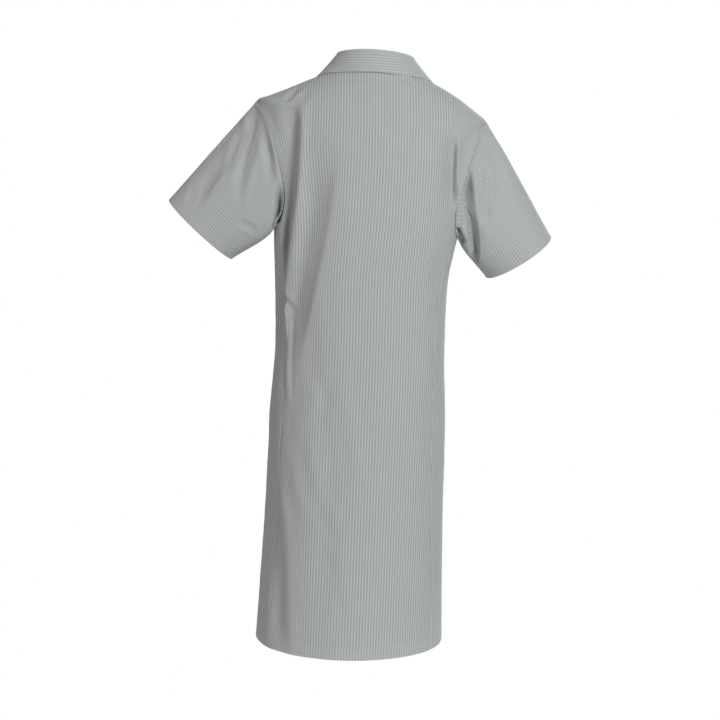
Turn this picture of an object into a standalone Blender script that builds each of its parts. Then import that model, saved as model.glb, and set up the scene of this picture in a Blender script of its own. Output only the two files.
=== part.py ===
"""A short-sleeved, knee-length work coat, buttoned and filled out as if worn, with nothing inside it.

The frame: metres, +Z up, the front faces -Y and the wearer's left is +X. The origin is the middle of the
neck opening, level with the back neck seam. The cut pieces are walls of cloth: a one-piece back, two
overlapping fronts, two set-in sleeves and a folded collar, with turned buttons down the front.

The body is a stack of rings. A height on it is named by where its ring crosses the centre back, and an
angle on a ring runs from the centre back (0), by the wearer's left (90), to the centre front (180).
"""

import math
from collections import namedtuple

import bpy
import numpy as np

CLOTH = 0.0012  # wall of the body and the sleeves
COLLAR_CLOTH = 0.0016  # two layers and their stiffening
SEAM_GAP = 0.0003  # between neighbouring pieces
SLEEVE_SETBACK = 0.0014  # the sleeve's start, out from the armhole's edge
COLLAR_SETBACK = 0.0010  # the collar's start, up from the neckline

Section = namedtuple(
    "Section",
    "back_z side_z front_z half_width back_depth front_depth roundness centre_x lean seam_angle",
)
# roundness 1 is an ellipse and less is squarer; lean is the ring's own tilt, left side up, in degrees.
SECTIONS = (
    Section(-1.000, -1.000, -1.000, 0.1665, 0.145, 0.140, 1.00, 0.0475, 1.1, 61),  # hem
    Section(-0.898, -0.898, -0.898, 0.1620, 0.140, 0.138, 0.98, 0.0431, 1.3, 59),
    Section(-0.754, -0.754, -0.754, 0.1577, 0.133, 0.134, 0.95, 0.0377, 1.6, 56),
    Section(-0.610, -0.610, -0.610, 0.1549, 0.124, 0.129, 0.92, 0.0323, 1.9, 55),  # hips
    Section(-0.468, -0.468, -0.468, 0.1490, 0.117, 0.124, 0.90, 0.0270, 2.4, 57),  # waist
    Section(-0.363, -0.364, -0.365, 0.1510, 0.118, 0.126, 0.88, 0.0245, 3.0, 62),
    Section(-0.300, -0.305, -0.303, 0.1570, 0.118, 0.129, 0.87, 0.0195, 3.4, 71),
    Section(-0.268, -0.278, -0.274, 0.1600, 0.117, 0.129, 0.87, 0.0165, 3.6, 78),  # armpits
    Section(-0.215, -0.216, -0.228, 0.1670, 0.112, 0.124, 0.87, 0.0125, 4.3, 81),
    Section(-0.165, -0.152, -0.186, 0.1780, 0.106, 0.114, 0.92, 0.0090, 5.0, 84),
    Section(-0.120, -0.094, -0.148, 0.1900, 0.097, 0.102, 1.02, 0.0070, 5.3, 87),
    Section(-0.095, -0.070, -0.128, 0.1980, 0.091, 0.094, 1.09, 0.0060, 5.5, 90),  # shoulder tips
    Section(-0.082, -0.0600, -0.120, 0.1820, 0.087, 0.090, 1.07, 0.0050, 4.8, 90),
    Section(-0.045, -0.0305, -0.098, 0.1280, 0.073, 0.077, 1.02, 0.0030, 3.1, 90),
    Section(-0.022, -0.0165, -0.086, 0.0980, 0.0635, 0.070, 1.00, 0.0010, 3.2, 90),
    Section(0.000, -0.0025, -0.075, 0.0680, 0.055, 0.066, 1.00, 0.0000, 3.5, 90),  # neck seam
)
HEM, ARMPIT, TIP, NECK = -1.000, -0.268, -0.095, 0.000

BACK_BITE, FRONT_BITE = 20, 31  # how far the armhole cuts into the back and the front, in degrees

ROWS_BELOW, ROWS_ARMHOLE, ROWS_SHOULDER = 23, 9, 5
BACK_COLUMNS, FRONT_COLUMNS = 40, 16

OVERLAP = 0.018  # each front runs this far past the centre front
OVERLAP_LIFT = CLOTH + SEAM_GAP  # the right front lies on the left one
OVERLAP_EASE = 0.004  # it starts to come back this far past the left front's edge
OVERLAP_FADE = 0.035  # and is on its own ring again after this width more

Fold = namedtuple("Fold", "facing top_z bottom_z x_top x_upper x_lower x_bottom depth width side")
# They run down the cloth, by their places at the ends and the two thirds between. A side of 0 is a trough;
# with a side of 1 or -1 the cloth falls away beyond the line, towards +X or -X.
FOLDS = (
    Fold("back", -0.045, -0.450, 0.139, 0.138, 0.158, 0.180, 0.0145, 0.0125, 0),  # inside the left armhole
    Fold("back", -0.110, -0.540, 0.058, 0.083, 0.114, 0.142, 0.0105, 0.017, 1),  # left shoulder blade to waist
    Fold("back", -0.340, -1.060, 0.172, 0.170, 0.176, 0.184, 0.0070, 0.013, 1),  # along the left side
    Fold("back", -0.095, -0.280, -0.130, -0.126, -0.121, -0.116, 0.0050, 0.011, 0),  # inside the right armhole
    Fold("back", -0.660, -1.040, 0.182, 0.176, 0.168, 0.163, 0.0065, 0.013, 0),  # flute at the left hem
    Fold("back", -0.480, -0.900, 0.060, 0.070, 0.074, 0.070, 0.0022, 0.030, 0),
    Fold("back", -0.600, -0.960, -0.060, -0.055, -0.050, -0.052, 0.0014, 0.030, 0),
    Fold("front", -0.170, -0.480, 0.100, 0.112, 0.126, 0.138, 0.0060, 0.015, 0),  # left chest to waist
    Fold("front", -0.190, -0.460, -0.090, -0.098, -0.102, -0.098, 0.0055, 0.015, 0),  # right chest to waist
    Fold("front", -0.620, -1.040, 0.112, 0.120, 0.126, 0.130, 0.0055, 0.018, 0),
    Fold("front", -0.560, -1.040, -0.048, -0.056, -0.060, -0.062, 0.0050, 0.020, 0),
)
FOLD_ENDS = 3.2  # a fold fades in and out over its length divided by this
SIDE_FADE = 6  # and towards the coat's sides: higher fades nearer to them
RIDGE, RIDGE_AT, RIDGE_NARROWING = 0.35, 1.75, 1.6  # the rise at each side of a trough
FALL_ROUNDING, FALL_ENDS_AT, FALL_ENDS_OVER = 0.02, 1.6, 2.6  # a fall's line, and where the cloth comes back

Sleeve = namedtuple("Sleeve", "side cuff_x cuff_y cuff_z rise half_height half_depth forward cap sag")
# rise is the cuff's own slope, lower to upper end, and forward its swing to the front, both in degrees;
# cap and sag round the sleeve out above and below.
SLEEVES = {
    "sleeve_left": Sleeve(1, 0.3070, -0.012, -0.2745, 43.6, 0.0750, 0.051, 4.7, 0.002, 0.010),
    "sleeve_right": Sleeve(-1, -0.2530, -0.025, -0.3225, 33.0, 0.0670, 0.060, 10.0, 0.004, 0.006),
}
SLEEVE_ROWS, SLEEVE_COLUMNS = 10, 26

SleeveFold = namedtuple("SleeveFold", "sleeve start end drop_start drop_end depth width side")
# Down a sleeve's back: start and end along it, and drop across it from its upper edge, 0 to 1. A side of 0 is
# a trough; with 1 the cloth falls away below the line, and with -1 above it.
SLEEVE_FOLDS = (
    SleeveFold("sleeve_left", 0.02, 0.55, 0.06, 0.52, 0.0040, 0.012, 0),
    SleeveFold("sleeve_left", 0.05, 0.98, 0.08, 0.38, 0.0050, 0.012, -1),
    SleeveFold("sleeve_right", 0.02, 0.72, 0.33, 1.04, 0.0090, 0.013, 1),
    SleeveFold("sleeve_right", 0.05, 0.60, 0.12, 0.35, 0.0025, 0.013, 0),
)
SLEEVE_FOLD_ENDS = 3
SEAM_FADE = 8  # no trough reaches the armhole seam: it is whole from 1/8 of the sleeve on

CollarRow = namedtuple("CollarRow", "angle stand lean fall swing stand_off")
# From the centre back to the front end: the stand's height, how far it leans out, how far down the body the
# fall reaches, how far back along the neck its edge swings (degrees), and its edge's distance off the body.
COLLAR = (
    CollarRow(0, 0.0275, -0.0070, 0.0125, 0, 0.0130),
    CollarRow(50, 0.0275, -0.0070, 0.0160, 0, 0.0090),
    CollarRow(90, 0.0270, -0.0060, 0.0245, 0, 0.0032),
    CollarRow(130, 0.0200, -0.0030, 0.0370, 5, 0.0032),
    CollarRow(176, 0.0085, 0.0000, 0.0560, 24, 0.0032),
)
COLLAR_END = 176
COLLAR_FOLD_RADIUS = 0.003
COLLAR_COLUMNS, STAND_ROWS, FOLD_ROWS, FALL_ROWS = 36, 2, 3, 4
FALL_CURVE = 1.15  # above 1 the fall hangs closer to the body
COLLAR_LIFT_FROM, COLLAR_LIFT_OVER = 30, 12  # degrees before the centre front where its left end steps up

BUTTONS = 7
BUTTON_TOP, BUTTON_STEP = -0.062, 0.108  # height of the highest, and down to each of the next
BUTTON_RADIUS, BUTTON_THICKNESS, BUTTON_RIM, BUTTON_DISH = 0.0075, 0.0028, 0.0014, 0.0009
BUTTON_SIDES = 16

STRIPED_CLOTH = (0.41, 0.43, 0.43, 1)
BUTTON_WHITE = (0.78, 0.79, 0.78, 1)

KEYS = np.array([row.back_z for row in SECTIONS])
COLUMNS = {name: np.array([getattr(row, name) for row in SECTIONS]) for name in Section._fields}


def smooth(at, keys, values):
    """A smooth curve through the values, read at these places; it keeps within neighbouring values."""
    runs = np.diff(keys)
    slopes = np.diff(values) / runs
    product = slopes[:-1] * slopes[1:]
    mean = 2 * product / np.where(product > 0, slopes[:-1] + slopes[1:], 1)
    tangents = np.concatenate([slopes[:1], np.where(product > 0, mean, 0), slopes[-1:]])
    i = np.clip(np.searchsorted(keys, at) - 1, 0, len(keys) - 2)
    t = (at - keys[i]) / runs[i]
    start = (2 * t**3 - 3 * t**2 + 1) * values[i] + (t**3 - 2 * t**2 + t) * runs[i] * tangents[i]
    end = (3 * t**2 - 2 * t**3) * values[i + 1] + (t**3 - t**2) * runs[i] * tangents[i + 1]
    return start + end


def step(x):
    """0 up to 0, 1 from 1 on, and smooth between."""
    x = np.clip(x, 0, 1)
    return x * x * (3 - 2 * x)


def power(x, exponent):
    return np.sign(x) * np.abs(x) ** exponent


def unit(vectors):
    return vectors / np.linalg.norm(vectors, axis=-1, keepdims=True)


def points_of(x, y, z):
    return np.stack(np.broadcast_arrays(x, y, z), axis=-1)


def bare_form(height, angle):
    """The ring surface with no folds."""
    height, angle = np.broadcast_arrays(np.asarray(height, float), np.asarray(angle, float))
    ring = {name: smooth(height, KEYS, column) for name, column in COLUMNS.items()}
    turn = np.radians(angle)
    across = ring["half_width"] * power(np.sin(turn), ring["roundness"])
    behind = np.cos(turn) > 0
    depth = np.where(behind, ring["back_depth"], ring["front_depth"])
    end_z = np.where(behind, ring["back_z"], ring["front_z"])
    z = ring["side_z"] * np.sin(turn) ** 2 + end_z * np.cos(turn) ** 2
    z = z + across * np.tan(np.radians(ring["lean"]))
    return points_of(ring["centre_x"] + across, depth * power(np.cos(turn), ring["roundness"]), z)


def form_normal(height, angle):
    small_height, small_angle = 0.0005, 0.5
    up = bare_form(np.minimum(height + small_height, NECK), angle) - bare_form(height - small_height, angle)
    round_ring = bare_form(height, angle + small_angle) - bare_form(height, angle - small_angle)
    return unit(np.cross(up, round_ring))


def trough(distance):
    """A fold's section: 1 deep at its middle, with the cloth pushed up a little at each side."""
    return np.exp(-(distance**2)) - RIDGE * np.exp(-RIDGE_NARROWING * (np.abs(distance) - RIDGE_AT) ** 2)


def fall_away(distance):
    """A fall's section: 0 before its line, 1 just past it, and back to 0 further on."""
    past = (distance + np.sqrt(distance**2 + FALL_ROUNDING)) / 2
    return (1 - np.exp(-past)) * (1 - step((distance - FALL_ENDS_AT) / FALL_ENDS_OVER))


def section(distance, side):
    return fall_away(side * distance) if side else trough(distance)


def fold_depth(points, behind):
    """How far the folds draw the cloth in at these points."""
    x, z = points[..., 0], points[..., 2]
    depth = np.zeros_like(x)
    thirds = np.array([0, 1 / 3, 2 / 3, 1])
    for fold in FOLDS:
        down = (fold.top_z - z) / (fold.top_z - fold.bottom_z)
        places = np.array([fold.x_top, fold.x_upper, fold.x_lower, fold.x_bottom])
        middle = smooth(np.clip(down, 0, 1), thirds, places)
        fade = step(down * FOLD_ENDS) * step((1 - down) * FOLD_ENDS)
        facing = behind if fold.facing == "back" else ~behind
        depth += fold.depth * fade * facing * section((x - middle) / fold.width, fold.side)
    return depth


def cloth(height, angle, lift=0.0):
    """The folded cloth's outer face, moved out by lift."""
    points = bare_form(height, angle)
    behind = np.cos(np.radians(angle)) * np.ones_like(points[..., 0]) > 0
    facing = np.abs(np.cos(np.radians(angle)))
    inward = fold_depth(points, behind) * step(facing * SIDE_FADE)
    return points + form_normal(height, angle) * (lift - inward)[..., None]


def armhole(turn):
    """Height and angle on the armhole's edge: turn 0 is the underarm, 90 its back, 180 the shoulder tip."""
    share = (1 - np.cos(np.radians(turn))) / 2
    height = ARMPIT + (TIP - ARMPIT) * share
    side = np.sin(np.radians(turn))
    bite = np.where(side > 0, BACK_BITE, FRONT_BITE) * side
    return height, smooth(height, KEYS, COLUMNS["seam_angle"]) - bite


def seam_angle(height):
    return float(smooth(np.array(height), KEYS, COLUMNS["seam_angle"]))


def armhole_bite(height):
    """How much of the full bite the armhole takes at this height, 0 to 1."""
    share = (height - ARMPIT) / (TIP - ARMPIT)
    return 2 * math.sqrt(share * (1 - share)) if 0 < share < 1 else 0.0


def row_heights():
    """Heights of a panel's rows, from the neck seam down to the hem."""
    shoulder = np.linspace(NECK, TIP, ROWS_SHOULDER + 1)
    armhole_rows = TIP + (ARMPIT - TIP) * (1 - np.cos(np.linspace(0, math.pi, ROWS_ARMHOLE + 1))) / 2
    below = np.linspace(ARMPIT, HEM, ROWS_BELOW + 1)
    return np.concatenate([shoulder, armhole_rows[1:], below[1:]])


def even_angles(height, start, end, columns):
    """Angles that part a ring's stretch evenly, from half a seam gap inside its ends."""
    fine = np.linspace(start, end, 241)
    points = bare_form(height, fine)
    lengths = np.concatenate([[0], np.cumsum(np.linalg.norm(np.diff(points, axis=0), axis=1))])
    places = np.linspace(SEAM_GAP / 2, lengths[-1] - SEAM_GAP / 2, columns + 1)
    return np.interp(places, lengths, fine)


def past_centre(height, distance):
    """How many degrees past the centre front lie this far from it."""
    half_width = smooth(np.asarray(height, float), KEYS, COLUMNS["half_width"])
    roundness = smooth(np.asarray(height, float), KEYS, COLUMNS["roundness"])
    return np.degrees(np.arcsin((distance / half_width) ** (1 / roundness)))


def overlap_lift(height, angle):
    """The right front's rise where it lies on the left front, fading towards the right side."""
    full = past_centre(height, OVERLAP + OVERLAP_EASE)
    gone = past_centre(height, OVERLAP + OVERLAP_EASE + OVERLAP_FADE)
    return OVERLAP_LIFT * step((gone - (angle - 180)) / (gone - full))


def back_faces():
    """The outer and inner rows of the one-piece back."""
    outer, inner = [], []
    for height in row_heights():
        seam = seam_angle(height)
        angles = even_angles(height, -seam, seam, BACK_COLUMNS)
        angles = angles - BACK_BITE * armhole_bite(height) * np.sign(angles) * (angles / seam) ** 2
        outer.append(cloth(height, angles))
        inner.append(cloth(height, angles, -CLOTH))
    return outer, inner


def front_faces(overlap_on_top):
    """The outer and inner rows of a front, from its side to its edge past the centre front."""
    outer, inner = [], []
    for height in row_heights():
        seam, end = seam_angle(height), 180 + float(past_centre(height, OVERLAP))
        angles = even_angles(height, seam, end, FRONT_COLUMNS)
        angles = angles + FRONT_BITE * armhole_bite(height) * ((end - angles) / (end - seam)) ** 2
        lift = np.zeros_like(angles)
        if overlap_on_top:
            angles = 360 - angles[::-1]
            lift = overlap_lift(height, angles)
        outer.append(cloth(height, angles, lift))
        inner.append(cloth(height, angles, lift - CLOTH))
    return outer, inner


def sleeve_rows(name):
    """Rings from the armhole's edge to the cuff, each from the underarm round by the back and the front."""
    sleeve = SLEEVES[name]
    rise, forward = math.radians(sleeve.rise), math.radians(sleeve.forward)
    upper = np.array([sleeve.side * math.cos(rise), 0, math.sin(rise)])
    outward = np.array([sleeve.side * math.sin(rise), 0, -math.cos(rise)])
    rearward = math.cos(forward) * np.array([0, 1, 0]) + math.sin(forward) * outward
    turn = np.arange(SLEEVE_COLUMNS) * 360 / SLEEVE_COLUMNS
    height, angle = armhole(turn)
    start = cloth(height, sleeve.side * angle)
    cos, sin = np.cos(np.radians(turn))[:, None], np.sin(np.radians(turn))[:, None]
    middle = np.array([sleeve.cuff_x, sleeve.cuff_y, sleeve.cuff_z])
    cuff = middle - cos * sleeve.half_height * upper + sin * sleeve.half_depth * rearward
    start = start + SLEEVE_SETBACK * unit(cuff - start)
    out = unit(-cos * upper + sin * np.array([0, 1, 0]))
    drop = (1 + cos[:, 0]) / 2
    rows = []
    for share in np.linspace(0, 1, SLEEVE_ROWS + 1):
        bulge = 4 * share * (1 - share) ** 2 * np.where(cos < 0, sleeve.cap, sleeve.sag) * np.abs(cos)
        inward = np.zeros_like(drop)
        for fold in SLEEVE_FOLDS:
            if fold.sleeve != name:
                continue
            along = (share - fold.start) / (fold.end - fold.start)
            middle_drop = fold.drop_start + (fold.drop_end - fold.drop_start) * along
            distance = (drop - middle_drop) * 2 * sleeve.half_height / fold.width
            fade = step(along * SLEEVE_FOLD_ENDS) * step((1 - along) * SLEEVE_FOLD_ENDS)
            fade = fade * step(share * SEAM_FADE)
            inward += fold.depth * fade * (sin[:, 0] > 0) * section(distance, fold.side)
        ring = start + (cuff - start) * share + out * (bulge - inward[:, None])
        rows.append(ring[::sleeve.side])
    return rows


def collar_ground(height, angle):
    """The body that the collar lies on, with the right front's overlap on it."""
    left = OVERLAP_LIFT * step((angle - 180 + COLLAR_LIFT_FROM) / COLLAR_LIFT_OVER)
    lift = np.where(angle < 0, overlap_lift(height, 360 + angle), left)
    return bare_form(height, angle) + form_normal(height, angle) * lift[..., None]


def collar_rows():
    """Rows from the neckline up the stand, over the fold and down the fall, each from end to end."""
    keys = np.array([float(row.angle) for row in COLLAR])
    angle = np.linspace(-COLLAR_END, COLLAR_END, COLLAR_COLUMNS + 1)
    values = {
        name: smooth(np.abs(angle), keys, np.array([getattr(row, name) for row in COLLAR], float))
        for name in CollarRow._fields[1:]
    }
    neck = np.full_like(angle, NECK)
    base = collar_ground(neck, angle)
    up = np.array([0.0, 0.0, 1.0])
    radial = unit(np.cross(up, bare_form(neck, angle + 0.5) - bare_form(neck, angle - 0.5)))
    top = base + radial * values["lean"][:, None] + up * values["stand"][:, None]
    radius = COLLAR_FOLD_RADIUS
    middle = top + radius * (radial - up)
    rows = []
    foot = base + COLLAR_SETBACK * unit(base - collar_ground(neck - 0.001, angle))
    for share in np.linspace(0, 1, STAND_ROWS + 1)[:-1]:
        rows.append(foot + (middle - radius * radial - foot) * share)
    for turn in np.linspace(math.pi, 0, FOLD_ROWS + 1):
        rows.append(middle + radius * (math.cos(turn) * radial + math.sin(turn) * up))
    carried = rows[-1] - base
    for share in np.linspace(0, 1, FALL_ROWS + 1)[1:]:
        height = -share * values["fall"]
        moved = angle - np.sign(angle) * share * values["swing"]
        clear = share * values["stand_off"][:, None] * form_normal(height, moved)
        rows.append(collar_ground(height, moved) + (1 - share) ** FALL_CURVE * carried + clear)
    return rows


def named_material(name, colour, roughness):
    material = bpy.data.materials.new(name)
    material.use_nodes = True
    shader = material.node_tree.nodes["Principled BSDF"]
    shader.inputs["Base Color"].default_value = colour
    shader.inputs["Roughness"].default_value = roughness
    shader.inputs["Metallic"].default_value = 0
    return material


def add_object(name, mesh, material, collection):
    piece = bpy.data.objects.new(name, mesh)
    mesh.materials.append(material)
    mesh.shade_smooth()
    collection.objects.link(piece)
    return piece


def lined_inside(rows, thickness, closed):
    """The outer rows and the rows one thickness under them, by the rows' own slopes."""
    outer = np.array(rows)
    along = np.gradient(outer, axis=0)
    if closed:
        across = np.roll(outer, -1, axis=1) - np.roll(outer, 1, axis=1)
    else:
        across = np.gradient(outer, axis=1)
    return outer, outer - thickness * unit(np.cross(across, along))


def wall(name, faces_of, collection, closed=False):
    """A closed wall of cloth between its outer and inner rows of points. Closed rows are rings."""
    outer, inner = (np.array(rows) for rows in faces_of)
    row_count, count = outer.shape[:2]
    first_inner = row_count * count
    spans = count if closed else count - 1
    faces = []
    for row in range(row_count - 1):
        for column in range(spans):
            a, b = row * count + column, row * count + (column + 1) % count
            faces.append((a, b, b + count, a + count))
            faces.append(tuple(first_inner + i for i in (a + count, b + count, b, a)))
    ends = [(0, 1), ((row_count - 1) * count, -1)]
    for start, way in ends:
        for column in range(spans):
            a, b = start + column, start + (column + 1) % count
            rim = (b, a, a + first_inner, b + first_inner)
            faces.append(rim[::way])
    if not closed:
        for start, way in ((0, -1), (count - 1, 1)):
            for row in range(row_count - 1):
                a = start + row * count
                b = a + count
                rim = (b, a, a + first_inner, b + first_inner)
                faces.append(rim[::way])
    mesh = bpy.data.meshes.new(name)
    mesh.from_pydata([tuple(point) for rows in (outer, inner) for row in rows for point in row], [], faces)
    return add_object(name, mesh, named_material(name + "_poplin", STRIPED_CLOTH, 0.85), collection)


def button_mesh():
    """A turned disc with a raised rim and a dished middle, its back at z = 0."""
    profile = (
        (0, BUTTON_THICKNESS - BUTTON_DISH),
        (BUTTON_RADIUS - BUTTON_RIM - 0.0010, BUTTON_THICKNESS - BUTTON_DISH),
        (BUTTON_RADIUS - BUTTON_RIM, BUTTON_THICKNESS),
        (BUTTON_RADIUS - 0.0004, BUTTON_THICKNESS - 0.0002),
        (BUTTON_RADIUS, BUTTON_THICKNESS * 0.55),
        (BUTTON_RADIUS - 0.0015, 0),
        (0, 0),
    )
    mesh = bpy.data.meshes.new("button_profile")
    mesh.from_pydata([(x, 0, z) for x, z in profile], [(i, i + 1) for i in range(len(profile) - 1)], [])
    return mesh


def add_button(number, collection, material):
    height = BUTTON_TOP - BUTTON_STEP * (number - 1)
    on = cloth(np.array([height]), np.array([180.0]), OVERLAP_LIFT + SEAM_GAP)[0]
    normal = form_normal(np.array([height]), np.array([180.0]))[0]
    button = add_object(f"button_{number}", button_mesh(), material, collection)
    turned = button.modifiers.new("turned", "SCREW")
    turned.steps = turned.render_steps = BUTTON_SIDES
    turned.use_merge_vertices = True
    turned.merge_threshold = 0.00001
    turned.use_smooth_shade = True
    button.location = on
    button.rotation_euler = (math.atan2(math.hypot(normal[0], normal[1]), normal[2]), 0,
                             math.atan2(normal[1], normal[0]) + math.pi / 2)
    return button


def build():
    for old in list(bpy.data.objects):
        bpy.data.objects.remove(old, do_unlink=True)
    coat = bpy.data.collections.new("work_coat")
    bpy.context.scene.collection.children.link(coat)
    wall("back", back_faces(), coat)
    wall("front_left", front_faces(overlap_on_top=False), coat)
    wall("front_right", front_faces(overlap_on_top=True), coat)
    wall("sleeve_left", lined_inside(sleeve_rows("sleeve_left"), CLOTH, True), coat, closed=True)
    wall("sleeve_right", lined_inside(sleeve_rows("sleeve_right"), CLOTH, True), coat, closed=True)
    wall("collar", lined_inside(collar_rows(), COLLAR_CLOTH, False), coat)
    white = named_material("button_polyester", BUTTON_WHITE, 0.35)
    for number in range(1, BUTTONS + 1):
        add_button(number, coat, white)


build()
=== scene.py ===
import math

import bpy
import numpy as np
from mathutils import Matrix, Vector


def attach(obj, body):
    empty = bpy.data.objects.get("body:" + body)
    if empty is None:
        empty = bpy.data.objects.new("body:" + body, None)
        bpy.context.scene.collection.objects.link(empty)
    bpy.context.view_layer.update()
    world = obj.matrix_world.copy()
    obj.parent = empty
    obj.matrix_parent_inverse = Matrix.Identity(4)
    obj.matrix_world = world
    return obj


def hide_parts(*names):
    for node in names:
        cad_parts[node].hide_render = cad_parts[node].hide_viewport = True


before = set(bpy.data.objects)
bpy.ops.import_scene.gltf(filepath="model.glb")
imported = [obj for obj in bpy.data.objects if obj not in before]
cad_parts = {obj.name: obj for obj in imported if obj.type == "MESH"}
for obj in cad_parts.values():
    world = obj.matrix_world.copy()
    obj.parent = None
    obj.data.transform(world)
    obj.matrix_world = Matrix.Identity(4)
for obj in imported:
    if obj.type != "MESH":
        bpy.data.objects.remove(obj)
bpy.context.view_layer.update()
print("frame loaded:", len(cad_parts), "solids")


def smooth(at, keys, values):  # a curve through the values that keeps within its neighbours
    runs = np.diff(keys)
    slopes = np.diff(values) / runs
    product = slopes[:-1] * slopes[1:]
    mean = 2 * product / np.where(product > 0, slopes[:-1] + slopes[1:], 1)
    tangents = np.concatenate([slopes[:1], np.where(product > 0, mean, 0), slopes[-1:]])
    i = np.clip(np.searchsorted(keys, at) - 1, 0, len(keys) - 2)
    t = (at - keys[i]) / runs[i]
    first = (2 * t**3 - 3 * t**2 + 1) * values[i] + (t**3 - 2 * t**2 + t) * runs[i] * tangents[i]
    second = (3 * t**2 - 2 * t**3) * values[i + 1] + (t**3 - t**2) * runs[i] * tangents[i + 1]
    return first + second


def step(x):  # 0 up to 0, 1 from 1 on
    x = np.clip(x, 0, 1)
    return x * x * (3 - 2 * x)


def window(x, start, rise, end, fall):  # 0, up to 1 over the rise from the start, and down from the end
    return step((x - start) / rise) * (1 - step((x - end) / fall))


def fadeEnds(share, steepness):
    return step(share * steepness) * step((1 - share) * steepness)


def dip(distance, width):  # 1 on a line, 0 well away from it
    return np.exp(-(distance / width) ** 2)


def power(x, exponent):
    return np.sign(x) * np.abs(x) ** exponent


def unit(vectors):
    return vectors / np.linalg.norm(vectors, axis=-1, keepdims=True)


def softNoise(x, y, seed):  # soft bumps one unit wide, from -1 to 1
    cellX, cellY = np.floor(x), np.floor(y)
    shareX, shareY = step(x - cellX), step(y - cellY)

    def corner(i, j):
        value = np.sin((cellX + i) * 127.1 + (cellY + j) * 311.7 + seed * 74.7) * 43758.5453
        return 2 * (value - np.floor(value)) - 1

    low = corner(0, 0) + (corner(1, 0) - corner(0, 0)) * shareX
    high = corner(0, 1) + (corner(1, 1) - corner(0, 1)) * shareX
    return low + (high - low) * shareY


def layered(across, down, layers, seed):  # a layer: its bumps' width, height, slant, share, added seed
    return sum(share * softNoise(across / width + slant * down, down / height, seed + more)
               for width, height, slant, share, more in layers)


def lengthsAlong(points):  # from the first of a line of points
    return np.concatenate([[0], np.cumsum(np.linalg.norm(np.diff(points, axis=0), axis=1))])


def nearest(values, value):
    return int(np.argmin(np.abs(values - value)))


def arcFrom(points, column):  # length along each row, measured from one column
    run = np.linalg.norm(np.diff(points, axis=1), axis=2)
    arc = np.concatenate([np.zeros((len(points), 1)), np.cumsum(run, axis=1)], axis=1)
    return arc - arc[:, [column]]


def gridNormals(points):
    across, down = np.gradient(points, axis=1), np.gradient(points, axis=0)
    return unit(np.cross(across, down))


def linear(code):  # sRGB hex to linear colour
    channels = [int(code[i:i + 2], 16) / 255 for i in (1, 3, 5)]
    return [c / 12.92 if c <= 0.04045 else ((c + 0.055) / 1.055) ** 2.4 for c in channels] + [1]


def addNode(tree, kind, settings=None, links=None):
    node = tree.nodes.new(kind)
    for key, value in (settings or {}).items():
        if isinstance(key, int) or key in node.inputs:
            node.inputs[key].default_value = value
        else:
            setattr(node, key, value)
    for key, socket in (links or {}).items():
        tree.links.new(socket, node.inputs[key])
    return node


def newMaterial(name, settings):
    material = bpy.data.materials.new(name)
    material.use_nodes = True
    tree = material.node_tree
    tree.nodes.clear()
    shader = addNode(tree, "ShaderNodeBsdfPrincipled", settings)
    addNode(tree, "ShaderNodeOutputMaterial", links={0: shader.outputs[0]})
    return material, tree, shader


poplin = {
    "white": "#B8BBBB", "green": "#9CA2A1",  # bleached and dyed warp yarn
    "pitch": 0.0049,  # one white and one grey-green stripe
    "edge": 0.16,  # how soft a stripe's edge is, as a share of half the pitch
    "thread": 0.0006, "weaveHeight": 0.00006,  # real threads lie 0.25 mm apart; drawn coarser, to show
    "slub": 0.05, "slubLength": 0.01111,  # unevenness of the yarn, and how far each runs along it
    "crumpleHeight": 0.0016, "crumpleSize": 0.02222,
    "doubled": 1.05, "blur": 0.4,  # cloth on cloth looks lighter, and the layer under blurs the stripes
    "hemShare": 0.5, "sleeveShare": 0.4,  # of both, in a hem and in a sleeve, whose cloth pulls off its grain
}


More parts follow.
